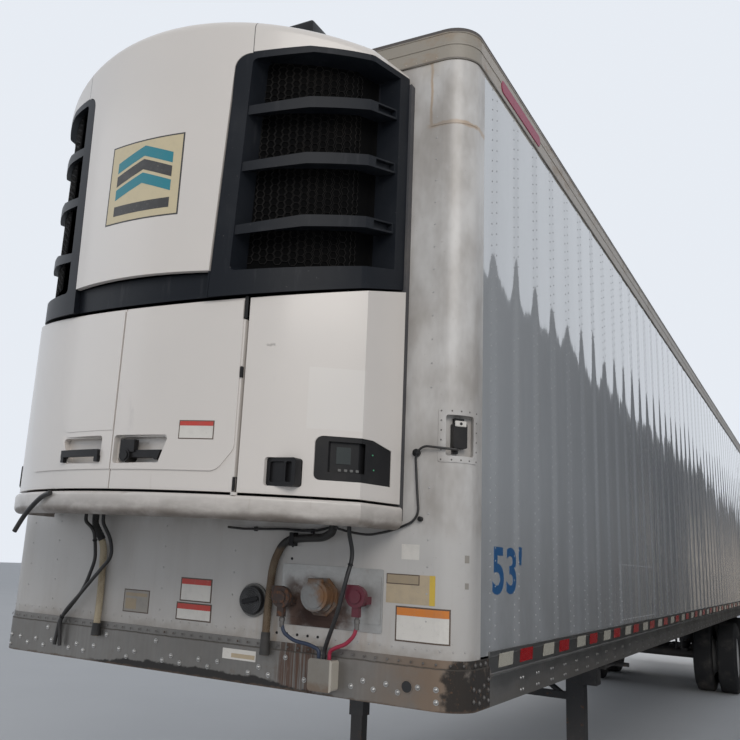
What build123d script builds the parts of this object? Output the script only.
# A 53 foot refrigerated semi trailer, parked on its landing gear, in millimetres.
# Frame: +Y runs from the nose to the rear doors, +X is the trailer's left (roadside), +Z is up.
# The origin is on the ground, at the middle of the whole trailer's length and width.
import os
from math import cos, radians, sin, tan

from build123d import *

os.makedirs("parts", exist_ok=True)

# Driving dimensions of the box
box_length = 16154
box_width = 2591
box_top = 4115
rail_bottom = 1120
rail_proud = 8
corner_radius = 130
wall_thickness = 64
nose_thickness = 100
roof_thickness = 76
floor_top = 1400
bottom_rail_height = 213
base_plate_height = 158
base_plate_return = 286
top_rail_height = 164
seat_gap = 0.3

# Rear doors
door_thickness = 70
door_gap = 16
post_width = 90
header_height = 150
sill_height = 190
hinge_out = 22
hinge_back = 22
knuckle_radius = 14
rod_radius = 13.5

# Refrigeration unit: plan of its shell, measured from the nose wall
unit_depth = 650
unit_crease_x = 960
unit_crease_depth = 293
unit_half_width = 1024
upper_depth = 690
upper_crease_x = 938
upper_crease_depth = 288
upper_half_width = 1013
panel_thickness = 26

# Heights on the unit's front; split lines rise towards the wall at split_slope
pan_bottom = 1800
pan_top = 1893
doors_bottom = 1904
split_slope = 0.24
doors_top_at_wall = 2832
band_gap = 13
band_slope = 0.236
door_back_gap = 6
door_skin = 10
centre_panel_bottom = doors_top_at_wall - 20
surround_top = box_top - 243
surround_front_rise = 152
surround_front_slope = 0.32
unit_top = box_top - 83
seam_x = -30
centre_door_edge = 532
panel_gap = 13

# Running gear
tyre_radius = 510
tyre_width = 272
rim_radius = 286
rim_half = 105
rim_lip = 12
dual_spacing = 330
dual_centre = 984
axle_rear_from_nose = 13120
axle_spread = 1245
axle_radius = 64
spindle_radius = 40
kingpin_from_nose = 914
landing_gear_from_nose = 3450
landing_leg_spacing = 1761

# The whole trailer is centred on Y between the unit's nose and the lock rods
rear_reach = hinge_back + knuckle_radius
nose_y = -(box_length + rear_reach - upper_depth) / 2
rear_y = nose_y + box_length
half_width = box_width / 2
skin_x = half_width - rail_proud
inner_x = skin_x - wall_thickness
roof_top = box_top - 18
ceiling = roof_top - roof_thickness
base_plate_top = rail_bottom + base_plate_height
crossmember_top = base_plate_top
axle_front_y = nose_y + axle_rear_from_nose - axle_spread
axle_rear_y = nose_y + axle_rear_from_nose


def span(low, high):
    """The middle and the length between two ends."""
    return (low + high) / 2, high - low


def block(x_ends, y_ends, z_ends, mode=Mode.ADD):
    """A box given by its two ends along each axis."""
    (x, dx), (y, dy), (z, dz) = span(*x_ends), span(*y_ends), span(*z_ends)
    with Locations((x, y, z)):
        Box(dx, dy, dz, mode=mode)


def rod(start, end, radius, mode=Mode.ADD):
    """A round bar between two points."""
    direction = Vector(*end) - Vector(*start)
    plane = Plane(origin=start, z_dir=direction)
    with BuildSketch(plane) as section:
        Circle(radius)
    extrude(section.sketch, amount=direction.length, mode=mode)


def finish(builder, label):
    """Names a piece and writes its STEP file."""
    builder.part.label = label
    export_step(builder.part, f"parts/{label}.step")


# The box


def nose_plan(half, front, back, radius):
    """The nose seen from above: a flat front, two rounded corners and straight returns."""
    bulge = radius * (1 - cos(radians(45)))
    with BuildSketch() as plan:
        with BuildLine():
            Line((-half, back), (-half, front + radius))
            ThreePointArc((-half, front + radius), (-half + bulge, front + bulge), (-half + radius, front))
            Line((-half + radius, front), (half - radius, front))
            ThreePointArc((half - radius, front), (half - bulge, front + bulge), (half, front + radius))
            Polyline((half, front + radius), (half, back), (-half, back))
        make_face()
    return plan.sketch


def raised(sketch, height):
    """A plan moved up to a height."""
    return sketch.moved(Location((0, 0, height)))


corner_back = nose_y + corner_radius + 60
patch_low = box_top - 490
sensor_z = 2197
sensor_width = 130
sensor_height = 176
sensor_depth = 42
turn = radians(45)
corner_centre = Vector(skin_x - corner_radius, nose_y + corner_radius, sensor_z)
corner_out = Vector(sin(turn), -cos(turn), 0)
sensor_plane = Plane(origin=corner_centre + corner_out * corner_radius, x_dir=(cos(turn), sin(turn), 0), z_dir=corner_out)
with BuildPart() as nose_wall:
    wall_plan = nose_plan(skin_x, nose_y, corner_back, corner_radius)
    extrude(raised(wall_plan, base_plate_top), amount=roof_top - base_plate_top)
    block((-inner_x, inner_x), (nose_y + nose_thickness, nose_y + 400), (0, box_top + 100), Mode.SUBTRACT)
    # A thin repair sheet is riveted over the roadside top corner
    with BuildPart(mode=Mode.PRIVATE) as patch:
        over = nose_plan(skin_x + 2, nose_y - 2, corner_back, corner_radius + 2)
        extrude(raised(over, patch_low), amount=box_top - top_rail_height - 2 - patch_low)
        under = nose_plan(skin_x - 4, nose_y + 4, corner_back + 1, corner_radius - 4)
        extrude(raised(under, patch_low - 5), amount=500, mode=Mode.SUBTRACT)
        block((-half_width, 1100), (nose_y - 10, nose_y + 400), (patch_low - 5, box_top), Mode.SUBTRACT)
        block((1000, half_width), (nose_y + 100, nose_y + 400), (patch_low - 5, box_top), Mode.SUBTRACT)
    add(patch.part)
    with BuildSketch(sensor_plane.offset(20)):
        RectangleRounded(sensor_width, sensor_height, 12)
    extrude(amount=-20 - sensor_depth, mode=Mode.SUBTRACT)
finish(nose_wall, "nose_wall")

wall_front = corner_back + seat_gap
wall_rear = rear_y - post_width
for side, label in ((1, "side_wall_left"), (-1, "side_wall_right")):
    with BuildPart() as side_wall:
        x_ends = sorted((side * inner_x, side * skin_x))
        block(x_ends, (wall_front, wall_rear - seat_gap), (crossmember_top + 40, roof_top))
        if side > 0:
            # A riveted repair sheet low on the roadside wall
            block((skin_x - 1, skin_x + 2), (nose_y + 3080, nose_y + 4402), (rail_bottom + bottom_rail_height + 2, 1750))
    finish(side_wall, label)

with BuildPart() as roof:
    roof_x = inner_x - seat_gap
    roof_front = nose_y + nose_thickness + seat_gap
    block((-roof_x, roof_x), (roof_front, wall_rear - seat_gap), (ceiling, roof_top))
finish(roof, "roof")

# Ducted aluminium floor: a flat deck with lengthwise T ribs on it
rib_count = 26
rib_height = 32
rib_width = 22
with BuildPart() as floor:
    deck_top = floor_top - rib_height
    block((-roof_x, roof_x), (roof_front, wall_rear - seat_gap), (crossmember_top, deck_top))
    rib_pitch = (2 * roof_x - 60) / (rib_count - 1)
    with Locations((0, (roof_front + wall_rear) / 2, deck_top + rib_height / 2)):
        with GridLocations(rib_pitch, 1, rib_count, 1):
            Box(rib_width, wall_rear - roof_front - 200, rib_height)
finish(floor, "floor")

# Aluminium base plate round the foot of the nose
plate_thickness = 8
strip_thickness = 3
strip_height = 32
lamp_hole_z = rail_bottom + 78
with BuildPart() as base_plate:
    plate_end = nose_y + base_plate_return
    plate_radius = corner_radius + rail_proud
    plate_plan = nose_plan(half_width, nose_y - plate_thickness, plate_end, plate_radius)
    extrude(raised(plate_plan, rail_bottom), amount=base_plate_height)
    strip_plan = nose_plan(skin_x + strip_thickness, nose_y - strip_thickness, plate_end, corner_radius + strip_thickness)
    extrude(raised(strip_plan, base_plate_top), amount=strip_height)
    behind = nose_plan(skin_x, nose_y, plate_end + 1, corner_radius)
    extrude(raised(behind, rail_bottom - 1), amount=base_plate_height + strip_height + 2, mode=Mode.SUBTRACT)
    rod((1055, nose_y - 20, lamp_hole_z), (1055, nose_y + 1, lamp_hole_z), 23, Mode.SUBTRACT)
finish(base_plate, "base_plate")

# Bottom rails: a flanged extrusion along each side, with round holes in its lower web
rail_start = nose_y + base_plate_return + seat_gap
rail_ridge = 122
rail_section = [
    (0, 0),
    (-46, 0),
    (-46, 7),
    (-rail_proud, 7),
    (-rail_proud, rail_ridge - 6),
    (-46, rail_ridge),
    (-46, rail_ridge + 10),
    (-rail_proud, rail_ridge + 10),
    (-rail_proud, bottom_rail_height),
    (0, bottom_rail_height),
    (0, bottom_rail_height - 16),
    (-4, bottom_rail_height - 22),
    (-4, rail_ridge + 6),
    (3, rail_ridge),
    (0, rail_ridge - 6),
]
with BuildPart() as bottom_rails:
    with BuildSketch(Plane(origin=(half_width, rail_start, rail_bottom), x_dir=(1, 0, 0), z_dir=(0, -1, 0))) as section:
        with BuildLine():
            Polyline(*rail_section, close=True)
        make_face()
    extrude(amount=-(rear_y - rail_start - post_width - seat_gap))
    mirror(about=Plane.YZ)
finish(bottom_rails, "bottom_rails")

# Top rails along the sides, and the nose's own rounded one
rail_bead = 3
rail_grooves = ((26, 78), (88, 150))
for side, label in ((1, "top_rail_left"), (-1, "top_rail_right")):
    with BuildPart() as top_rail:
        outer = sorted((side * half_width, side * (skin_x + seat_gap)))
        cover = sorted((side * half_width, side * (half_width - 90)))
        ends = (nose_y + corner_radius + seat_gap, wall_rear - seat_gap)
        block(outer, ends, (box_top - top_rail_height, box_top))
        block(cover, ends, (roof_top + seat_gap, box_top))
        groove = sorted((side * (half_width + 1), side * (half_width - rail_bead)))
        for low, high in rail_grooves:
            block(groove, (ends[0] - 1, ends[1] + 1), (box_top - high, box_top - low), Mode.SUBTRACT)
        edge = top_rail.edges().filter_by(Axis.Y).group_by(Axis.Z)[-1].sort_by(Axis.X)[-1 if side > 0 else 0]
        fillet(edge, 9)
    finish(top_rail, label)

with BuildPart() as nose_top_rail:
    rail_end = nose_y + corner_radius
    rail_plan = nose_plan(half_width, nose_y - rail_proud, rail_end, corner_radius + rail_proud - 0.1)
    extrude(raised(rail_plan, box_top - top_rail_height), amount=top_rail_height)
    fillet(nose_top_rail.faces().sort_by(Axis.Z)[-1].edges().sort_by(Axis.Y)[:-1], 9)
    behind = nose_plan(skin_x + seat_gap, nose_y - seat_gap, rail_end + 1, corner_radius)
    extrude(raised(behind, 0), amount=roof_top + seat_gap, mode=Mode.SUBTRACT)
    block((-half_width + 90, half_width - 90), (nose_y + 90, nose_y + 600), (0, box_top + 10), Mode.SUBTRACT)
    outside = nose_plan(half_width + 5, nose_y - rail_proud - 5, rail_end + 1, corner_radius + rail_proud + 5)
    inside = nose_plan(half_width - rail_bead, nose_y - rail_proud + rail_bead, rail_end + 2, corner_radius + 5)
    for low, high in rail_grooves:
        with BuildPart(mode=Mode.PRIVATE) as groove:
            extrude(raised(outside, box_top - high), amount=high - low)
            extrude(raised(inside, box_top - high - 1), amount=high - low + 2, mode=Mode.SUBTRACT)
        add(groove.part, mode=Mode.SUBTRACT)
finish(nose_top_rail, "nose_top_rail")

# Rear end: frame, doors with lock rods, and underride guard

frame_front = rear_y - post_width
sill_bottom = rail_bottom - 20
opening_low = floor_top - 12
opening_high = box_top - header_height
opening_x = half_width - post_width
with BuildPart() as rear_frame:
    block((-half_width, half_width), (frame_front, rear_y), (sill_bottom, box_top))
    block((-opening_x, opening_x), (frame_front - 1, rear_y + 1), (opening_low, opening_high), Mode.SUBTRACT)
    # The fixed halves of the door hinges stand on the posts
    hinge_x = half_width + hinge_out
    hinge_y = rear_y + hinge_back
    hinge_heights = [opening_low + 150 + row * (opening_high - opening_low - 300) / 4 for row in range(5)]
    for height in hinge_heights:
        for side in (1, -1):
            for offset in (-36, 36):
                x_ends = sorted((side * (half_width - 46), side * hinge_x))
                block(x_ends, (rear_y - 1, hinge_y + 8), (height + offset - 12, height + offset + 12))
                with Locations((side * hinge_x, hinge_y, height + offset)):
                    Cylinder(knuckle_radius, 24)
    for height in hinge_heights:
        for side in (1, -1):
            for offset in (-36, 36):
                with Locations((side * hinge_x, hinge_y, height + offset)):
                    Cylinder(7, 24, mode=Mode.SUBTRACT)
finish(rear_frame, "rear_frame")

door_low = opening_low + 12
door_high = opening_high - 12
door_outer_x = opening_x - 10
door_face = rear_y - 6
rod_places = (360, door_outer_x - 215.5)
handle_meet = sum(rod_places) / 2
handle_ends = (handle_meet - 10, handle_meet - 20)
for side, word in ((1, "left"), (-1, "right")):
    with BuildPart() as cargo_door:
        x_ends = sorted((side * door_gap / 2, side * door_outer_x))
        block(x_ends, (door_face - door_thickness, door_face), (door_low, door_high))
        for height in hinge_heights:
            strap = sorted((side * (door_outer_x - 130), side * (hinge_x - 10)))
            pad = sorted((side * (door_outer_x - 130), side * (door_outer_x - 50)))
            block(strap, (hinge_y - 6, hinge_y + 6), (height - 22, height + 22))
            block(pad, (door_face - 1, hinge_y), (height - 22, height + 22))
            with Locations((side * hinge_x, hinge_y, height)):
                Cylinder(knuckle_radius, 46)
            with Locations((side * hinge_x, hinge_y, height)):
                Cylinder(6.9, 95)
    finish(cargo_door, f"cargo_door_{word}")
    with BuildPart() as lock_rods:
        rod_y = door_face + rod_radius + 6
        for place, handle_end in zip(rod_places, handle_ends):
            with Locations((side * place, rod_y, (door_low + door_high) / 2)):
                Cylinder(rod_radius, door_high - door_low - 8)
            for height in (door_low + 60, door_low + 900, door_low + 1500, door_high - 60):
                block(
                    sorted((side * (place - 34), side * (place + 34))),
                    (door_face + seat_gap, rod_y + rod_radius + 3),
                    (height - 22, height + 22),
                )
            # Handle lying flat across the door, with its catch
            block(
                sorted((side * (place - 10), side * handle_end)),
                (rod_y + 2, rod_y + 14),
                (door_low + 470, door_low + 502),
            )
            block(
                sorted((side * (place - 18), side * (place + 18))),
                (rod_y - 6, rod_y + 16),
                (door_low + 440, door_low + 530),
            )
    finish(lock_rods, f"lock_rods_{word}")

guard_height = 560
guard_depth = 100
with BuildPart() as underride_guard:
    guard_y = (rear_y - 130, rear_y - 130 + guard_depth)
    block((-1180, 1180), guard_y, (guard_height - guard_depth, guard_height))
    for x in (-900, -480, 480, 900):
        block((x - 40, x + 40), (guard_y[0] + 10, guard_y[1] - 10), (guard_height - 1, sill_bottom - seat_gap))
finish(underride_guard, "underride_guard")

# Under the floor: coupler with kingpin, crossmembers, bogie

kingpin_y = nose_y + kingpin_from_nose
coupler_plate = 10
with BuildPart() as coupler:
    inside_x = half_width - 52
    block((-inside_x, inside_x), (nose_y + 60, nose_y + 1500), (rail_bottom, rail_bottom + coupler_plate))
    for x in (-inside_x + 60, -420, -140, 140, 420, inside_x - 60):
        block((x - 5, x + 5), (nose_y + 70, nose_y + 1490), (rail_bottom, crossmember_top - seat_gap))
    for y in (nose_y + 76, nose_y + 640, kingpin_y + 230, nose_y + 1480):
        block((-inside_x, inside_x), (y - 6, y + 6), (rail_bottom, crossmember_top - seat_gap))
    with BuildSketch(Plane(origin=(0, kingpin_y, rail_bottom), x_dir=(1, 0, 0), z_dir=(0, -1, 0))) as pin_half:
        with BuildLine():
            Polyline(
                (0, 5), (60, 5), (60, 0), (36.5, 0), (36.5, -12), (25.4, -18), (25.4, -52), (35.7, -56), (35.7, -84),
                (0, -84), close=True,
            )
        make_face()
    revolve(axis=Axis((0, kingpin_y, rail_bottom), (0, 0, 1)))
finish(coupler, "coupler")

beam_depth = 100
beam_pitch = 610
first_beam = nose_y + 1560
beam_width = 60
beam_web = 6
beam_x = half_width - 50
with BuildPart() as crossmembers:
    count = int((frame_front - 80 - first_beam) / beam_pitch) + 1
    middle = first_beam + (count - 1) * beam_pitch / 2
    low = crossmember_top - beam_depth - seat_gap
    with BuildSketch(Plane(origin=(-beam_x, middle, low), x_dir=(0, 1, 0), z_dir=(1, 0, 0))) as beam:
        with GridLocations(beam_pitch, 1, count, 1):
            with Locations((0, 4)):
                Rectangle(beam_width, 8)
            with Locations((0, beam_depth - 4)):
                Rectangle(beam_width, 8)
            with Locations((0, beam_depth / 2)):
                Rectangle(beam_web, beam_depth)
    extrude(amount=2 * beam_x)
finish(crossmembers, "crossmembers")

# Slider rails fixed under the crossmembers, and the bogie's own frame under them
slider_x = 520
slider_top = crossmember_top - beam_depth - 2 * seat_gap
slider_low = 1085
bogie_top = slider_low
bogie_low = 965
bogie_front = axle_front_y - 760
bogie_rear = axle_rear_y + 760
with BuildPart() as bogie_frame:
    for side in (1, -1):
        rail = sorted((side * (slider_x - 45), side * (slider_x + 45)))
        block(rail, (axle_front_y - 2200, frame_front - 40), (slider_low, slider_top))
        beam = sorted((side * (slider_x - 38), side * (slider_x + 38)))
        block(beam, (bogie_front, bogie_rear), (bogie_low, bogie_top + 1))
    for y in (bogie_front + 60, (axle_front_y + axle_rear_y) / 2, bogie_rear - 60):
        block((-slider_x, slider_x), (y - 50, y + 50), (bogie_low + 20, bogie_top - 20))
    # Hangers that the trailing arms pivot on
    hanger_low = 610
    for axle_y in (axle_front_y, axle_rear_y):
        for side in (1, -1):
            y = axle_y - 560
            block(sorted((side * (slider_x - 46), side * (slider_x - 36))), (y - 80, y + 80), (hanger_low, bogie_low + 60))
            block(sorted((side * (slider_x + 36), side * (slider_x + 46))), (y - 80, y + 80), (hanger_low, bogie_low + 60))
finish(bogie_frame, "bogie_frame")

hub_height = tyre_radius
arm_half = 32
bag_radius = 120
with BuildPart() as suspension:
    for axle_y in (axle_front_y, axle_rear_y):
        for side in (1, -1):
            x = side * slider_x
            arm_plane = Plane(origin=(x - arm_half, axle_y, 0), x_dir=(0, 1, 0), z_dir=(1, 0, 0))
            with BuildSketch(arm_plane) as arm:
                with BuildLine():
                    Polyline(
                        (-600, 700), (-600, 650), (-520, 630), (-150, hub_height + 75), (180, hub_height + 75),
                        (460, hub_height + 110), (460, hub_height + 150), (150, hub_height + 170), (-150, hub_height + 170),
                        (-520, 700), close=True,
                    )
                make_face()
            extrude(arm.sketch, amount=2 * arm_half)
            with Locations((x, axle_y + 330, (hub_height + 150 + bogie_low - seat_gap) / 2)):
                Cylinder(bag_radius, bogie_low - seat_gap - hub_height - 150)
finish(suspension, "suspension")

with BuildPart() as axles:
    for axle_y in (axle_front_y, axle_rear_y):
        rod((-690, axle_y, hub_height), (690, axle_y, hub_height), axle_radius)
        rod((-1104, axle_y, hub_height), (1104, axle_y, hub_height), spindle_radius)
        for side in (1, -1):
            x = side * slider_x
            block((x - 44, x + 44), (axle_y - 80, axle_y + 80), (hub_height + axle_radius - 30, hub_height + 75))
            # Brake chamber on its bracket, behind the axle
            rod((side * 330, axle_y + 175, hub_height + 20), (side * 330, axle_y + 330, hub_height + 60), 82)
            block((side * 330 - 8, side * 330 + 8), (axle_y, axle_y + 190), (hub_height - 30, hub_height + 60))
            # Brake camshaft
            rod((side * 330, axle_y + 110, hub_height), (side * 640, axle_y + 110, hub_height), 18)
            block((side * 600 - 6, side * 600 + 6), (axle_y, axle_y + 130), (hub_height - 30, hub_height + 30))
finish(axles, "axles")


# Wheels: each station has two tyres, and two rims with their hub and drum as one piece


def tyre_half(plane, centre_x):
    """Half section of a tyre, from its bead up over the tread."""
    w = tyre_width / 2
    bead = rim_radius + seat_gap
    seat = rim_half - rim_lip - seat_gap
    right_side = [(seat, bead), (seat, bead + 18), (w - 20, bead + 30), (w, bead + 112), (w - 7, tyre_radius - 44), (w - 22, tyre_radius - 10), (w - 36, tyre_radius)]
    outline = [(centre_x + out, up) for out, up in right_side] + [(centre_x - out, up) for out, up in reversed(right_side)]
    with BuildSketch(plane) as half:
        with BuildLine():
            Polyline(*outline, close=True)
        make_face()
    return half.sketch


def rim_section(plane, out):
    """Half section of one rim: its band, two lips and the disc that meets its twin."""
    c = dual_centre + out * dual_spacing / 2
    lip = rim_half - rim_lip
    outline = [
        (c + out * rim_half, rim_radius + 14),
        (c + out * rim_half, 276),
        (c - out * 50, 262),
        (dual_centre + out * 18, 205),
        (dual_centre + out * 18, 110),
        (dual_centre, 110),
        (dual_centre, 214),
        (c - out * 90, 274),
        (c - out * rim_half, 278),
        (c - out * rim_half, rim_radius + 14),
        (c - out * lip, rim_radius + 14),
        (c - out * lip, rim_radius),
        (c + out * lip, rim_radius),
        (c + out * lip, rim_radius + 14),
    ]
    with BuildSketch(plane) as section:
        with BuildLine():
            Polyline(*outline, close=True)
        make_face()
    return section.sketch


hand_holes = 5
stations = (
    (1, axle_front_y, "front_left"),
    (-1, axle_front_y, "front_right"),
    (1, axle_rear_y, "rear_left"),
    (-1, axle_rear_y, "rear_right"),
)
for side, axle_y, label in stations:
    hub_plane = Plane(origin=(0, axle_y, hub_height), x_dir=(side, 0, 0), z_dir=(0, -side, 0))
    hub_axis = Axis((0, axle_y, hub_height), (1, 0, 0))
    with BuildPart() as tyres:
        for centre in (dual_centre - dual_spacing / 2, dual_centre + dual_spacing / 2):
            revolve(tyre_half(hub_plane, centre), axis=hub_axis)
    finish(tyres, f"tyres_{label}")
    with BuildPart() as rims:
        for out in (1, -1):
            revolve(rim_section(hub_plane, out), axis=hub_axis)
        # Hub barrel with its cap, and the brake drum behind it
        bore = spindle_radius + seat_gap
        with BuildSketch(hub_plane) as hub:
            with BuildLine():
                Polyline(
                    (720, bore), (1110, bore), (1110, 0), (1124, 0), (1124, 62), (1090, 78), (dual_centre + 30, 84),
                    (dual_centre + 30, 140), (dual_centre - 30, 140), (dual_centre - 30, 214), (740, 214), (740, 190),
                    (900, 190), (900, 84), (720, 84), close=True,
                )
            make_face()
        revolve(hub.sketch, axis=hub_axis)
        # Hand holes through the two discs
        for step in range(hand_holes):
            around = radians(360 * step / hand_holes)
            y, z = axle_y + 172 * cos(around), hub_height + 172 * sin(around)
            rod((side * (dual_centre - 29), y, z), (side * (dual_centre + 40), y, z), 27, Mode.SUBTRACT)
    finish(rims, f"rims_{label}")

# Landing gear: two square legs with sand shoes, braced to the coupler and crossmembers

leg_y = nose_y + landing_gear_from_nose
leg_half = 62
shoe_half = 130
leg_top = slider_top
brace_beam = first_beam + 4 * beam_pitch
with BuildPart() as landing_legs:
    for side in (1, -1):
        x = side * landing_leg_spacing / 2
        block((x - leg_half, x + leg_half), (leg_y - leg_half, leg_y + leg_half), (430, leg_top))
        block((x - 50, x + 50), (leg_y - 50, leg_y + 50), (60, 431))
        block((x - shoe_half, x + shoe_half), (leg_y - shoe_half, leg_y + shoe_half), (0, 14))
        block((x - 60, x + 60), (leg_y - 70, leg_y + 70), (13, 80))
        # Bracket plate behind the leg and its brace to the next beam
        block((x - 90, x + 90), (leg_y + leg_half - 1, leg_y + leg_half + 10), (880, leg_top))
        rod((x, leg_y + leg_half - 10, 800), (x, brace_beam - 30, leg_top - 24), 22)
        block((x - 40, x + 40), (brace_beam - 60, brace_beam + 26), (leg_top - 40, leg_top))
    # Two-speed gear box on the roadside leg, with its crank folded back
    outer = landing_leg_spacing / 2 + leg_half
    block((outer - 1, outer + 96), (leg_y - 75, leg_y + 75), (880, 1075))
    rod((outer + 90, leg_y, 1010), (outer + 150, leg_y, 1010), 16)
    rod((outer + 138, leg_y - 14, 1010), (outer + 138, leg_y + 330, 1010), 12)
    rod((outer + 138, leg_y + 320, 1010), (outer + 250, leg_y + 320, 1010), 15)
finish(landing_legs, "landing_legs")

with BuildPart() as landing_brace:
    inner_leg = landing_leg_spacing / 2 - leg_half - seat_gap
    block((-inner_leg, inner_leg), (leg_y - 25, leg_y + 25), (760, 810))
    rod((-inner_leg + 30, leg_y, 785), (-240, leg_y, leg_top - 20), 20)
    rod((inner_leg - 30, leg_y, 785), (240, leg_y, leg_top - 20), 20)
    block((-300, 300), (leg_y - 30, leg_y + 30), (leg_top - 46, leg_top))
    # Cross shaft between the gear boxes
    rod((-inner_leg, leg_y, 980), (inner_leg, leg_y, 980), 16)
finish(landing_brace, "landing_brace")

tank_radius = 290
tank_straps = (first_beam + 6 * beam_pitch, first_beam + 7 * beam_pitch)
tank_y = (tank_straps[0] - 340, tank_straps[1] + 340)
tank_z = 860
with BuildPart() as fuel_tank:
    rod((0, tank_y[0], tank_z), (0, tank_y[1], tank_z), tank_radius)
    chamfer(fuel_tank.edges(), 28, 44)
    rod((180, sum(tank_y) / 2, tank_z + 180), (262, sum(tank_y) / 2, tank_z + 262), 38)
    for y in tank_straps:
        with Locations(Location((0, y, tank_z), (90, 0, 0))):
            Cylinder(tank_radius + 6, 60)
        for side in (1, -1):
            block(
                sorted((side * (tank_radius - 60), side * (tank_radius + 6))), (y - 30, y + 30),
                (tank_z, slider_top),
            )
finish(fuel_tank, "fuel_tank")

with BuildPart() as mud_flaps:
    flap_y = axle_rear_y + tyre_radius + 230
    for side in (1, -1):
        block(sorted((side * 665, side * 1275)), (flap_y - 4, flap_y + 4), (250, 1000))
        block(sorted((side * 560, side * 1285)), (flap_y + 3, flap_y + 33), (960, 1020))
        block(sorted((side * 560, side * 620)), (flap_y + 3, flap_y + 33), (1019, slider_low - seat_gap))
finish(mud_flaps, "mud_flaps")

lamp_radius = 52
with BuildPart() as lamps:
    for side in (1, -1):
        for x in (900, 1040, 1180):
            rod((side * x, rear_y + seat_gap, sill_bottom + 70), (side * x, rear_y + 14, sill_bottom + 70), lamp_radius)
    for x in (-300, 0, 300):
        block((x - 50, x + 50), (rear_y + seat_gap, rear_y + 18), (box_top - 80, box_top - 50))
finish(lamps, "lamps")

# Fittings on the nose wall

panel_x = (444, 936)
panel_z = (1386, 1640)
panel_mid_x = sum(panel_x) / 2
with BuildPart() as nose_panel:
    block(panel_x, (nose_y - 3 - seat_gap, nose_y - seat_gap), panel_z)
    fillet(nose_panel.edges().filter_by(Axis.Y), 8)
    block((panel_x[0] + 8, panel_x[1] - 8), (nose_y - 7, nose_y - 3), (panel_z[0] + 34, panel_z[1] - 32))
finish(nose_panel, "nose_panel")

socket_place = (652, 1512)
with BuildPart() as electrical_socket:
    face = nose_y - 7 - seat_gap
    x, z = socket_place
    with BuildSketch(Plane(origin=(x, face, z), x_dir=(1, 0, 0), z_dir=(0, -1, 0))):
        RegularPolygon(84, 8, rotation=22.5)
    extrude(amount=10)
    rod((x, face, z), (x, face - 24, z), 66)
    rod((x, face - 23, z), (x, face - 62, z), 56)
    rod((x, face - 61, z + 4), (x, face - 72, z + 4), 64)
    rod((x, face - 71, z + 4), (x, face - 76, z + 4), 50)
    # Hinge of the spring lid
    rod((x - 34, face - 62, z + 66), (x + 34, face - 62, z + 66), 9)
    block((x - 20, x + 20), (face - 70, face - 20), (z + 50, z + 64))
finish(electrical_socket, "electrical_socket")

with BuildPart() as glad_hands:
    for x, z in ((488, 1486), (848, 1512)):
        face = nose_y - 7 - seat_gap
        rod((x, face, z), (x, face - 46, z), 26)
        rod((x, face - 46, z + 14), (x, face - 74, z + 14), 44)
        block((x - 16, x + 16), (face - 70, face - 46), (z - 66, z + 14))
        rod((x, face - 73, z + 14), (x, face - 80, z + 14), 26)
        block((x - 52, x + 8), (face - 66, face - 56), (z + 2, z + 60))
        with Locations((x, face - 23, z)):
            Box(78, 46, 30)
finish(glad_hands, "glad_hands")

with BuildPart() as junction_box:
    face = nose_y - plate_thickness - seat_gap
    block((642, 748), (face - 60, face), (1146, 1266))
    fillet(junction_box.edges().filter_by(Axis.Y), 12)
    with BuildSketch(Plane(origin=(695, face - 60, 1206), x_dir=(1, 0, 0), z_dir=(0, -1, 0))):
        RectangleRounded(112, 126, 14)
    extrude(amount=7)
finish(junction_box, "junction_box")

cap_place = (303, 1473)
with BuildPart() as permit_cap:
    rod((cap_place[0], nose_y - seat_gap, cap_place[1]), (cap_place[0], nose_y - 10, cap_place[1]), 72)
    rod((cap_place[0], nose_y - 9, cap_place[1]), (cap_place[0], nose_y - 34, cap_place[1]), 58)
finish(permit_cap, "permit_cap")

# A riveted frame and cup let into the rounded corner, with the sensor in it
with BuildPart() as sensor_frame:
    over = nose_plan(skin_x + 3.3, nose_y - 3.3, nose_y + corner_radius + 40, corner_radius + 3.3)
    extrude(raised(over, sensor_z - 112), amount=224)
    under = nose_plan(skin_x + seat_gap, nose_y - seat_gap, nose_y + corner_radius + 41, corner_radius + seat_gap)
    extrude(raised(under, sensor_z - 113), amount=226, mode=Mode.SUBTRACT)
    with BuildSketch(sensor_plane.offset(20)):
        RectangleRounded(sensor_width + 48, 224, 10)
    extrude(amount=-60, mode=Mode.INTERSECT)
    with BuildSketch(sensor_plane.offset(20)):
        RectangleRounded(sensor_width - 5, sensor_height - 5, 10)
    extrude(amount=-60, mode=Mode.SUBTRACT)
    with BuildPart(mode=Mode.PRIVATE) as cup:
        with BuildSketch(sensor_plane.offset(-sensor_depth + seat_gap)):
            RectangleRounded(sensor_width - 2 * seat_gap, sensor_height - 2 * seat_gap, 12)
        extrude(amount=sensor_depth + 8)
        with BuildSketch(sensor_plane.offset(-sensor_depth + 3)):
            RectangleRounded(sensor_width - 5, sensor_height - 5, 10)
        extrude(amount=sensor_depth + 20, mode=Mode.SUBTRACT)
        inner = nose_plan(skin_x + 1, nose_y - 1, nose_y + corner_radius + 41, corner_radius + 1)
        extrude(raised(inner, sensor_z - 113), amount=226, mode=Mode.INTERSECT)
    add(cup.part)
finish(sensor_frame, "sensor_frame")

sensor_back = sensor_plane.offset(-sensor_depth + 3 + seat_gap)
with BuildPart() as corner_sensor:
    with BuildSketch(sensor_back):
        RectangleRounded(62, 104, 8)
    extrude(amount=34)
    with BuildSketch(sensor_back):
        with Locations((0, 62)):
            Rectangle(44, 24)
    extrude(amount=20)
    with BuildSketch(sensor_back):
        with Locations((-14, -62)):
            Rectangle(24, 24)
    extrude(amount=16)
finish(corner_sensor, "corner_sensor")

# The refrigeration unit


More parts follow.
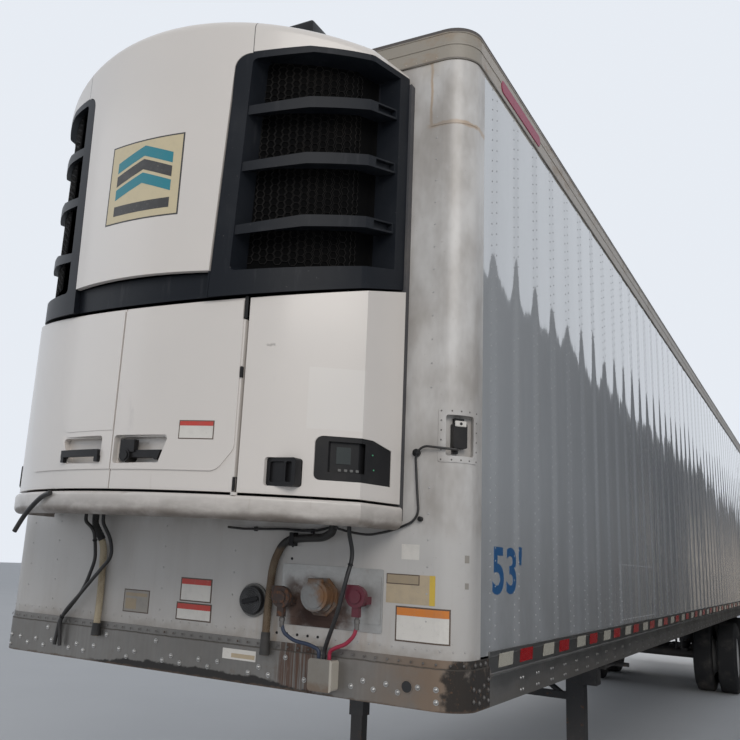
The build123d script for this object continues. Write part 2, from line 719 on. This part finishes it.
def shell_plan(depth, crease_x, crease_depth, wall_x, inset, stand_off):
    """Plan of the unit's shell: a bowed front, two creases and side faces to the wall."""
    half = crease_x - inset
    front = nose_y - depth + inset
    crease_y = nose_y - crease_depth + inset * 0.45
    back = nose_y - stand_off
    back_half = half + (wall_x - crease_x) / crease_depth * (back - crease_y)
    with BuildSketch() as plan:
        with BuildLine():
            ThreePointArc((-half, crease_y), (0, front), (half, crease_y))
            Polyline((half, crease_y), (back_half, back), (-back_half, back), (-half, crease_y))
        make_face()
    return plan.sketch


def lower_shell(low, high, thickness, grow=0.0, back_gap=0.0):
    """A tall piece of the lower shell, as thick as its panels."""
    plan = (unit_depth + grow, unit_crease_x + grow, unit_crease_depth + grow, unit_half_width + grow)
    extrude(raised(shell_plan(*plan, 0, stand_off + back_gap), low), amount=high - low)
    core = shell_plan(*plan, thickness, stand_off - 60)
    extrude(raised(core, low - 1), amount=high - low + 2, mode=Mode.SUBTRACT)


def upper_shell(low, high, thickness, inset=0.0):
    """A tall piece of the upper shell, between an inset and a thickness."""
    plan = (upper_depth, upper_crease_x, upper_crease_depth, upper_half_width)
    extrude(raised(shell_plan(*plan, inset, stand_off), low), amount=high - low)
    core = shell_plan(*plan, thickness, stand_off - 60)
    extrude(raised(core, low - 1), amount=high - low + 2, mode=Mode.SUBTRACT)


def sloped_plane(height_at_wall, slope=split_slope):
    """A split plane that passes the wall at a height and falls towards the nose."""
    return Plane(origin=(0, nose_y, height_at_wall), z_dir=(0, -slope, 1))


def window(x_ends, z_ends, y_ends, radius=0.0, mode=Mode.SUBTRACT):
    """A rounded window cut through the front, between two depths from the nose wall."""
    (x, dx), (z, dz) = span(*x_ends), span(*z_ends)
    with BuildSketch(Plane(origin=(x, nose_y + y_ends[1], z), x_dir=(1, 0, 0), z_dir=(0, -1, 0))) as cut:
        if radius:
            RectangleRounded(dx, dz, radius)
        else:
            Rectangle(dx, dz)
    extrude(cut.sketch, amount=y_ends[1] - y_ends[0], mode=mode)


def front_plane(x=0):
    """The nose wall's plane, looked at from the front."""
    return Plane(origin=(x, nose_y, 0), x_dir=(1, 0, 0), z_dir=(0, -1, 0))


def clear_outside(x_low, x_high):
    """Cuts away what lies outside a range of X."""
    block((-far, x_low), (nose_y - 900, nose_y + 10), (0, 5000), Mode.SUBTRACT)
    block((x_high, far), (nose_y - 900, nose_y + 10), (0, 5000), Mode.SUBTRACT)


stand_off = 40 + seat_gap
lower_plan = (unit_depth, unit_crease_x, unit_crease_depth, unit_half_width)
upper_plan = (upper_depth, upper_crease_x, upper_crease_depth, upper_half_width)
far = 1500
through = (-900, -1)

service_hinges = ((-1016, 47, 6.5), (536, 549, 14))
grip_low = doors_bottom + 104
grip_high = doors_bottom + 221
grip_near = 36
grip_outer = (307, 266)
grip_bar = (grip_low + 26, grip_low + 56)
field_low = doors_bottom + 80
field_rise = 6
line_rise = 3


def front_outline(points, radii=()):
    """A closed outline on the front, in distances from the middle and heights, with some corners rounded."""
    with BuildSketch(front_plane()) as front:
        with BuildLine():
            Polyline(*points, close=True)
        make_face()
        for index, radius in radii:
            corner = front.vertices().sort_by_distance(Vector(*points[index], 0))[0]
            fillet(corner, radius)
    return front.sketch


def grip_outline(side, mid, grow, low, high):
    """A grip's opening: upright next to the seam, slanted on its far side."""
    near = mid + side * (grip_near - grow)
    lean = (grip_outer[0] - grip_outer[1]) / (grip_high - grip_low)
    far_low = mid + side * (grip_outer[1] + lean * (low - grip_low) + grow)
    far_high = mid + side * (grip_outer[1] + lean * (high - grip_low) + grow)
    points = [(near, low - grow), (far_low, low - grow), (far_high, high + grow), (near, high + grow)]
    return front_outline(points, [(index, 14) for index in range(4)])


def raised_field(rise, points, radii):
    """A shallow raised field on the doors' shell."""
    with BuildPart(mode=Mode.PRIVATE) as field:
        lower_shell(doors_bottom, doors_top_at_wall + 60, 14 + rise, rise, door_back_gap)
        split(bisect_by=sloped_plane(doors_top_at_wall - 9), keep=Keep.BOTTOM)
        extrude(front_outline(points, radii), amount=900, mode=Mode.INTERSECT)
    return field.part


# Left door, then centre door: its edges, the grip's side, the big raised field and the smaller one on it
left_edge = seam_x - 3
right_edge = seam_x + 3
for label, x_ends, side in (
    ("unit_door_left", (-far, left_edge), -1),
    ("unit_door_centre", (right_edge, centre_door_edge), 1),
):
    with BuildPart() as unit_door:
        lower_shell(doors_bottom, doors_top_at_wall + 60, panel_thickness, back_gap=door_back_gap)
        split(bisect_by=sloped_plane(doors_top_at_wall), keep=Keep.BOTTOM)
        if side < 0:
            field = [(left_edge, field_low), (-660, field_low), (-706, field_low + 110), (-880, 2900), (left_edge, 2900)]
            add(raised_field(field_rise, field, [(1, 70), (2, 200)]))
            field = [(left_edge, grip_high + 22), (-372, grip_high + 22), (-420, grip_high + 200), (-470, 2900), (left_edge, 2900)]
            add(raised_field(field_rise + line_rise, field, [(1, 70)]))
        else:
            right_low = centre_door_edge - 70
            field = [(right_edge, field_low), (right_low, field_low), (centre_door_edge - 6, field_low + 90), (centre_door_edge - 6, 2900), (right_edge, 2900)]
            add(raised_field(field_rise, field, [(1, 60), (2, 60)]))
        # Behind its outer skin the top edge is lower, to swing out under the surround
        with BuildPart(mode=Mode.PRIVATE) as rebate:
            lower_shell(doors_bottom, doors_top_at_wall + 70, 2 * panel_thickness, -door_skin)
            split(bisect_by=sloped_plane(doors_top_at_wall - 14), keep=Keep.TOP)
        add(rebate.part, mode=Mode.SUBTRACT)
        if x_ends[0] > -far:
            block((-far, x_ends[0]), (nose_y - 900, nose_y + 10), (0, 5000), Mode.SUBTRACT)
        block((x_ends[1], far), (nose_y - 900, nose_y + 10), (0, 5000), Mode.SUBTRACT)
        extrude(grip_outline(side, seam_x - 25, 0, grip_low, grip_high), amount=900, mode=Mode.SUBTRACT)
        # A pocket closes the back of the grip opening, with a bar across it
        x_mid = seam_x - 25 + side * 150
        depth_there = unit_depth - x_mid * x_mid / 2938
        with BuildPart(mode=Mode.PRIVATE) as pocket:
            extrude(grip_outline(side, seam_x - 25, 8, grip_low, grip_high), amount=depth_there - panel_thickness + 6)
            extrude(grip_outline(side, seam_x - 25, -6, grip_low, grip_high), amount=900, mode=Mode.SUBTRACT)
            extrude(grip_outline(side, seam_x - 25, 7, grip_low, grip_high), amount=depth_there - 52)
            block((-far, far), (nose_y - depth_there + 60, nose_y + 10), (0, 5000), Mode.SUBTRACT)
        add(pocket.part)
        if side > 0:
            # The upper and lower corners by the hinge edge are cut back
            block((centre_door_edge - 9, far), (nose_y - 900, nose_y), (doors_bottom + 704, 5000), Mode.SUBTRACT)
            block((centre_door_edge - 6, far), (nose_y - 900, nose_y), (0, doors_bottom + 60), Mode.SUBTRACT)
    finish(unit_door, label)

# The centre grip's paddle with its round lock, and the bar beside it
with BuildPart() as unit_door_handle:
    x_mid = seam_x - 25 + 150
    pocket_face = nose_y - (unit_depth - x_mid * x_mid / 2938 - 52) - seat_gap
    paddle_x = seam_x + 68
    y0 = nose_y - unit_depth + 8
    block((paddle_x - 30, paddle_x + 46), (y0 - 4, y0 + 22), (grip_bar[1] - 8, grip_high - 18))
    rod((paddle_x, pocket_face, grip_low + 34), (paddle_x, y0 - 8, grip_low + 34), 27)
    rod((paddle_x, y0 - 7, grip_low + 34), (paddle_x, y0 - 13, grip_low + 34), 19)
    bar_points = [
        (paddle_x + 20, grip_bar[0]), (paddle_x + 20, grip_bar[1]), (221, grip_bar[1]), (203, grip_low + 16),
        (190, grip_low + 16), (180, grip_bar[0]),
    ]
    with BuildPart(mode=Mode.PRIVATE) as bar:
        extrude(front_outline(bar_points), amount=unit_depth - 12)
        block((-far, far), (nose_y - unit_depth + 48, nose_y + 10), (0, 5000), Mode.SUBTRACT)
    add(bar.part)
finish(unit_door_handle, "unit_door_handle")

display_low = doors_bottom + 65
display_high = doors_bottom + 240
box_low = doors_bottom + 32
box_high = box_low + 112


def display_outline(gap):
    """The display's opening, rounded, with its far top corner slanted; it ends before the wall."""
    x_low, x_high = 808 + gap, 1060
    low, high = display_low + gap, display_high - gap
    with BuildPart(mode=Mode.PRIVATE) as opening:
        points = [(x_low, low), (x_high, low), (x_high, high), (x_low, high)]
        extrude(front_outline(points, [(0, 22), (3, 30)]), amount=900)
        block((-far, far), (nose_y - 104 - gap, nose_y + 10), (0, 5000), Mode.SUBTRACT)
        # The slanted corner falls towards the wall along the side face
        split(bisect_by=Plane(origin=(0, nose_y - 223, high), z_dir=(0, 0.24, 1)), keep=Keep.BOTTOM)
    return opening.part


with BuildPart() as unit_side_panel:
    lower_shell(doors_bottom, doors_top_at_wall + 60, panel_thickness)
    split(bisect_by=sloped_plane(doors_top_at_wall), keep=Keep.BOTTOM)
    block((-far, centre_door_edge + panel_gap), (nose_y - 900, nose_y + 10), (0, 5000), Mode.SUBTRACT)
    add(display_outline(0), mode=Mode.SUBTRACT)
    window((640, 772), (box_low, box_high), through, 12)
finish(unit_side_panel, "unit_side_panel")

with BuildPart() as unit_controls:
    # The display's dark housing follows the corner, a little sunk, with a frame round its screen
    lower_shell(display_low - 10, display_high + 10, 46, -3)
    add(display_outline(seat_gap), mode=Mode.INTERSECT)
    with BuildPart(mode=Mode.PRIVATE) as screen_room:
        lower_shell(display_low + 34, display_high - 20, 17, -1)
        clear_outside(852, 962)
    add(screen_room.part, mode=Mode.SUBTRACT)
    # The small box lies flat beside it, its lid sunk in a frame
    box_front = -unit_depth + 704 * 704 / 2938
    window((640.3, 771.7), (box_low + 0.3, box_high - 0.3), (box_front - 4, box_front + 44), 12, Mode.ADD)
    window((656, 722), (box_low + 16, box_high - 16), (box_front - 5, box_front + 6), 8)
    window((728, 756), (box_low + 16, box_high - 16), (box_front - 5, box_front + 12), 8)
finish(unit_controls, "unit_controls")

with BuildPart() as unit_base_pan:
    plan = (unit_depth + 12, unit_crease_x + 12, unit_crease_depth + 12, unit_half_width + 12)
    extrude(raised(shell_plan(*plan, 0, stand_off), pan_bottom), amount=pan_top - pan_bottom)
    rims_of_pan = unit_base_pan.faces().filter_by(Axis.Z).edges().filter_by(lambda e: e.center().Y < nose_y - stand_off - 5)
    fillet(rims_of_pan.group_by(Axis.Z)[0], 34)
    high_rim = unit_base_pan.faces().sort_by(Axis.Z)[-1].edges().filter_by(lambda e: e.center().Y < nose_y - stand_off - 5)
    fillet(high_rim, 14)
    core = shell_plan(*plan, 60, stand_off - 60)
    extrude(raised(core, pan_bottom - 1), amount=pan_top - pan_bottom + 2, mode=Mode.SUBTRACT)
    extrude(raised(shell_plan(*lower_plan, 40, stand_off), pan_bottom + 20), amount=12)
    # Bosses that carry the two service doors at their hinges
    for x, depth, radius in service_hinges:
        rod((x, nose_y - depth, pan_top - 1), (x, nose_y - depth, doors_bottom - seat_gap), radius)
finish(unit_base_pan, "unit_base_pan")

# Upper part: dark grille surrounds, white centre panel and white cap
panel_edge_low = 381
panel_edge_high = 418
panel_corner = surround_top - 118
corner_turn = 75
opening_side = -105
surround_depth = 110
band_low = doors_top_at_wall + band_gap
opening_edge_low = 464
opening_edge_high = 500
opening_low_at_wall = doors_top_at_wall + 100
opening_low_slope = 0.2
opening_top = surround_top - 29
opening_front_rise = 158
opening_front_slope = 0.34
bar_shares = (0.254, 0.531, 0.787)
bar_height = 48
seam_drop = 3
crown_drop = 150
crown_half = upper_half_width + 40


def crown_sketch(extra):
    """Front outline of the unit's arched top."""
    with BuildSketch(front_plane()) as crown:
        with BuildLine():
            high = unit_top + extra
            side_high = unit_top - crown_drop + extra
            ThreePointArc((-crown_half, side_high), (0, high), (crown_half, side_high))
            Polyline((crown_half, side_high), (crown_half, 2000), (-crown_half, 2000), (-crown_half, side_high))
        make_face()
    return crown.sketch


def crown_body(low, inset, rounding):
    """The whole upper body above a height, with rounded creases and a rounded top edge."""
    with BuildPart(mode=Mode.PRIVATE) as body:
        extrude(raised(shell_plan(*upper_plan, inset, stand_off), low), amount=unit_top + 50 - low)
        extrude(crown_sketch(-inset), amount=900, mode=Mode.INTERSECT)
        creases = body.edges().filter_by(Axis.Z).filter_by(lambda e: e.center().Y < nose_y - 200)
        fillet(creases, rounding + 10)
        top_edges = body.faces().sort_by(Axis.Z)[-1].edges().filter_by(lambda e: e.center().Y < nose_y - 45)
        fillet(top_edges, rounding)
    return body.part


def under_rise(top, front_rise, slope):
    """All of the unit's room below a level line and below one that falls towards the nose."""
    with BuildPart(mode=Mode.PRIVATE) as room:
        block((-far, far), (nose_y - 900, nose_y + 10), (2000, top))
        split(bisect_by=sloped_plane(top + front_rise, slope), keep=Keep.BOTTOM)
    return room.part


def centre_outline(extra, low):
    """Front outline of the centre panel: it widens upwards and flares round the surrounds' corners."""
    rise = (panel_edge_high - panel_edge_low) / (panel_corner - centre_panel_bottom)
    x_low = panel_edge_low + extra + rise * (low - centre_panel_bottom)
    turn_x = panel_edge_high + corner_turn
    radius = corner_turn - extra
    x_mid, z_mid = turn_x - radius * cos(radians(45)), panel_corner + radius * sin(radians(45))
    with BuildSketch(front_plane()) as front:
        with BuildLine():
            Polyline((-x_low, low), (x_low, low), (turn_x - radius, panel_corner))
            ThreePointArc((turn_x - radius, panel_corner), (x_mid, z_mid), (turn_x, panel_corner + radius))
            Polyline((turn_x, panel_corner + radius), (turn_x, 5000), (-turn_x, 5000), (-turn_x, panel_corner + radius))
            ThreePointArc((-turn_x, panel_corner + radius), (-x_mid, z_mid), (radius - turn_x, panel_corner))
            Line((radius - turn_x, panel_corner), (-x_low, low))
        make_face()
    return front.sketch


def clear(x_ends, z_ends=(0, 5000), y_ends=(-900, 10)):
    """Cuts everything in a range of the unit away."""
    block(x_ends, (nose_y + y_ends[0], nose_y + y_ends[1]), z_ends, Mode.SUBTRACT)


def grille_opening(side):
    """The tall opening in one surround: a slanted inner edge, a kinked top, rounded inner corners."""
    with BuildPart(mode=Mode.PRIVATE) as opening:
        reach = box_top - 115
        points = [(side * opening_edge_low, 2760), (side * far, 2760), (side * far, reach), (side * opening_edge_high, reach)]
        extrude(front_outline(points), amount=900)
        add(under_rise(opening_top, opening_front_rise, opening_front_slope), mode=Mode.INTERSECT)
        split(bisect_by=sloped_plane(opening_low_at_wall, opening_low_slope), keep=Keep.TOP)
        inner = opening.faces().sort_by(lambda f: abs(f.center().X))[0]
        tall = (inner.edges() - inner.edges().filter_by(Axis.Z)).filter_by(lambda e: abs(e.tangent_at(0.5).Y) > 0.8)
        fillet(tall, 22)
        block((-far, far), (nose_y + opening_side, nose_y + 10), (0, 5000), Mode.SUBTRACT)
    return opening.part


def grille_bar(side, low):
    """One blade across the opening: its two edges bend at the knee, and its far end is scooped out."""
    with BuildPart(mode=Mode.PRIVATE) as bar:
        upper_shell(low - 300, low + bar_height + 20, 84, 8)
        split(bisect_by=sloped_plane(low + bar_height, 0.15), keep=Keep.BOTTOM)
        split(bisect_by=sloped_plane(low + 189, 0.455), keep=Keep.BOTTOM)
        with BuildPart(mode=Mode.PRIVATE) as beneath:
            block((-far, far), (nose_y - 900, nose_y + 10), (2000, low + 10))
            split(bisect_by=sloped_plane(low, 0.16), keep=Keep.BOTTOM)
            split(bisect_by=sloped_plane(low + 98.6, 0.374), keep=Keep.BOTTOM)
        add(beneath.part, mode=Mode.SUBTRACT)
        clear(sorted((-side * far, side * (opening_edge_low - 20))))
        clear((-far, far), y_ends=(opening_side + 1, 10))
        with BuildPart(mode=Mode.PRIVATE) as scoop:
            upper_shell(low - 100, low + bar_height, 30, 4)
            split(bisect_by=sloped_plane(low + bar_height - 7, 0.15), keep=Keep.BOTTOM)
            split(bisect_by=sloped_plane(low + 9, 0.16), keep=Keep.TOP)
            clear((-far, far), y_ends=(-900, -236))
            clear((-far, far), y_ends=(-118, 10))
            clear(sorted((-side * far, side * 100)))
        add(scoop.part, mode=Mode.SUBTRACT)
    return bar.part


for side, label in ((1, "unit_grille_left"), (-1, "unit_grille_right")):
    with BuildPart() as grille:
        upper_shell(band_low - 230, surround_top + 5, surround_depth)
        split(bisect_by=sloped_plane(band_low, band_slope), keep=Keep.TOP)
        # Under the centre panel the band keeps to the doors' shell
        with BuildPart(mode=Mode.PRIVATE) as overhang:
            block((-far, far), (nose_y - 900, nose_y - 10), (2500, centre_panel_bottom - seam_drop))
            extrude(raised(shell_plan(*lower_plan, 0, 0), 2400), amount=600, mode=Mode.SUBTRACT)
            extrude(centre_outline(0, 2400), amount=900, mode=Mode.INTERSECT)
        add(overhang.part, mode=Mode.SUBTRACT)
        add(under_rise(surround_top, surround_front_rise, surround_front_slope), mode=Mode.INTERSECT)
        # The band under the centre panel belongs to the trailer's right-hand surround
        with BuildPart(mode=Mode.PRIVATE) as own:
            gap = 1 if side > 0 else -1
            x_low, x_high = panel_edge_low - 8 + gap, panel_edge_high + gap
            edge = [(x_low, 2400), (x_high, 3600), (x_high, 5000)]
            edge = edge + [(far, 5000), (far, 2400)] if side > 0 else edge + [(-far, 5000), (-far, 2400)]
            extrude(front_outline(edge), amount=900)
        add(own.part, mode=Mode.INTERSECT)
        extrude(centre_outline(3, centre_panel_bottom - seam_drop), amount=900, mode=Mode.SUBTRACT)
        add(grille_opening(side), mode=Mode.SUBTRACT)
        if side < 0:
            clear((0, far), (centre_panel_bottom - seam_drop, 5000))
        for share in bar_shares:
            add(grille_bar(side, doors_top_at_wall + share * (surround_top - doors_top_at_wall)))
        add(crown_body(2400, 0, 50), mode=Mode.INTERSECT)
    finish(grille, label)

with BuildPart() as unit_mesh_screens:
    for side in (1, -1):
        with BuildPart(mode=Mode.PRIVATE) as screen:
            upper_shell(centre_panel_bottom - 2, surround_top - 20, surround_depth + 8, surround_depth + seat_gap)
            clear(sorted((-side * far, side * (opening_edge_low - 20))))
            clear((-far, far), y_ends=(opening_side - 10, 10))
        add(screen.part)
finish(unit_mesh_screens, "unit_mesh_screens")

upper_body = crown_body(centre_panel_bottom, 0, 50)
with BuildPart() as unit_centre_panel:
    add(upper_body)
    core = shell_plan(*upper_plan, panel_thickness, stand_off - 60)
    extrude(raised(core, 2000), amount=3000, mode=Mode.SUBTRACT)
    extrude(centre_outline(0, centre_panel_bottom), amount=900, mode=Mode.INTERSECT)
finish(unit_centre_panel, "unit_centre_panel")

with BuildPart() as unit_top_cap:
    add(upper_body)
    low = under_rise(surround_top + seat_gap, surround_front_rise, surround_front_slope)
    add(low, mode=Mode.SUBTRACT)
    add(crown_body(3000, panel_thickness, 40), mode=Mode.SUBTRACT)
    with BuildPart(mode=Mode.PRIVATE) as panel_room:
        upper_shell(3000, unit_top + 20, panel_thickness + seat_gap)
        extrude(centre_outline(2 * seat_gap, 3000), amount=900, mode=Mode.INTERSECT)
    add(panel_room.part, mode=Mode.SUBTRACT)
    # Low outlet hood on the roadside of the top
    hood_low, hood_high = unit_top - 132, unit_top - 26
    hood = [(612, hood_low), (612, hood_high - 18), (640, hood_high), (700, hood_high - 2)]
    hood += [(742, hood_high - 24), (742, hood_low)]
    with BuildPart(mode=Mode.PRIVATE) as outlet:
        extrude(front_outline(hood), amount=900)
        clear((-far, far), y_ends=(-900, -330))
        clear((-far, far), y_ends=(-210, 10))
        add(crown_body(3000, panel_thickness, 40), mode=Mode.SUBTRACT)
    add(outlet.part)
finish(unit_top_cap, "unit_top_cap")

# Back frame of the unit, bolted to the nose wall, and the engine inside
with BuildPart() as unit_back_frame:
    back_x = upper_half_width
    upright_x = upper_half_width - 223
    frame_face = nose_y - stand_off + seat_gap
    block((-back_x, back_x), (frame_face, nose_y - seat_gap), (pan_bottom + 40, surround_top - 30))
    for x in (-upright_x, upright_x):
        block((x - 25, x + 25), (nose_y - 180, frame_face + 1), (pan_top + 30, surround_top - 80))
    block((-upright_x, upright_x), (nose_y - 180, frame_face + 1), (doors_top_at_wall - 52, doors_top_at_wall - 32))
finish(unit_back_frame, "unit_back_frame")

with BuildPart() as unit_engine:
    block((-430, 330), (nose_y - 470, nose_y - stand_off), (pan_bottom + 60, doors_top_at_wall - 272))
    chamfer(unit_engine.edges().filter_by(Axis.Z), 40)
finish(unit_engine, "unit_engine")


# Hoses and cables


def hose(label, radius, routes):
    """Round tubes along routes of points, with arcs at the corners."""
    with BuildPart() as tube:
        for route in routes:
            points = [Vector(*point) for point in route]
            radii = []
            for before, corner, after in zip(points, points[1:], points[2:]):
                run_in, run_out = corner - before, after - corner
                turn = radians(run_in.get_angle(run_out))
                radii.append(0.45 * min(run_in.length, run_out.length) / tan(turn / 2))
            with BuildLine() as path:
                centre_line = FilletPolyline(*points, radius=radii)
            with BuildSketch(Plane(origin=centre_line @ 0, z_dir=centre_line % 0)) as section:
                Circle(radius)
            swept = sweep(section.sketch, path=path.line, mode=Mode.ADD)
            print(label, "radii", [round(r) for r in radii], "length", round(centre_line.length))
    finish(tube, label)


def on_wall(x, z, out):
    """A point a given distance in front of the nose wall."""
    return (x, nose_y - out, z)


hose(
    "air_hoses",
    8,
    [
        [
            on_wall(848, 1410, 55), on_wall(838, 1372, 56), on_wall(800, 1335, 52), on_wall(752, 1318, 46),
            on_wall(718, 1300, 38), on_wall(718, 1266.3, 38),
        ],
        [
            on_wall(488, 1390, 55), on_wall(500, 1355, 56), on_wall(548, 1326, 50), on_wall(620, 1318, 44),
            on_wall(668, 1300, 38), on_wall(668, 1266.3, 38),
        ],
    ],
)
hose(
    "black_cables",
    9,
    [
        [
            on_wall(812, 1819.7, 90), on_wall(812, 1780, 90), on_wall(826, 1690, 70), on_wall(816, 1600, 102), on_wall(780, 1450, 104),
            on_wall(720, 1350, 60), on_wall(693, 1302, 38), on_wall(693, 1266.3, 38),
        ],
        [
            on_wall(-660, 1819.7, 118), on_wall(-660, 1783, 118), on_wall(-604, 1745, 110), on_wall(-628, 1672, 64),
            on_wall(-640, 1600, 40), on_wall(-700, 1450, 36), on_wall(-800, 1345, 30), on_wall(-852, 1298, 24),
            on_wall(-869, 1174, 24),
        ],
        [
            on_wall(-560, 1819.7, 100), on_wall(-560, 1780, 100), on_wall(-520, 1700, 72), on_wall(-512, 1620, 62),
            on_wall(-600, 1530, 64), on_wall(-700, 1430, 58), on_wall(-790, 1345, 53), on_wall(-832, 1288, 42),
            on_wall(-826, 1173, 30),
        ],
    ],
)
hose(
    "sensor_cable",
    5,
    [
        [
            on_wall(772, 1819.7, 130), on_wall(772, 1796, 130), on_wall(812, 1782, 52), on_wall(870, 1776, 20),
            on_wall(980, 1800, 12), on_wall(1092, 1850, 12), on_wall(1080, 1960, 11), on_wall(1069, 2116, 12),
            on_wall(1106, 2150, 20), on_wall(1190, 2140, 17), on_wall(1244.9, 2137, -22.8), on_wall(1223.7, 2137, -44),
        ],
    ],
)
hose(
    "drain_hoses",
    17,
    [
        [
            on_wall(730, 1819.7, 80), on_wall(730, 1782, 80), on_wall(670, 1757, 46), on_wall(560, 1752, 24), on_wall(455, 1740, 20),
            on_wall(402, 1640, 20), on_wall(388, 1440, 20), on_wall(392, 1250, 30),
        ],
        [on_wall(-640, 1819.7, 70), on_wall(-640, 1770, 70), on_wall(-608, 1680, 24), on_wall(-600, 1440, 19), on_wall(-595, 1240, 30)],
    ],
)
hose(
    "loose_strip",
    11,
    [
        [
            on_wall(-392, 1884, 622.1), on_wall(-450, 1874, 606), on_wall(-510, 1836, 598), on_wall(-566, 1780, 600),
            on_wall(-610, 1712, 600),
        ],
    ],
)
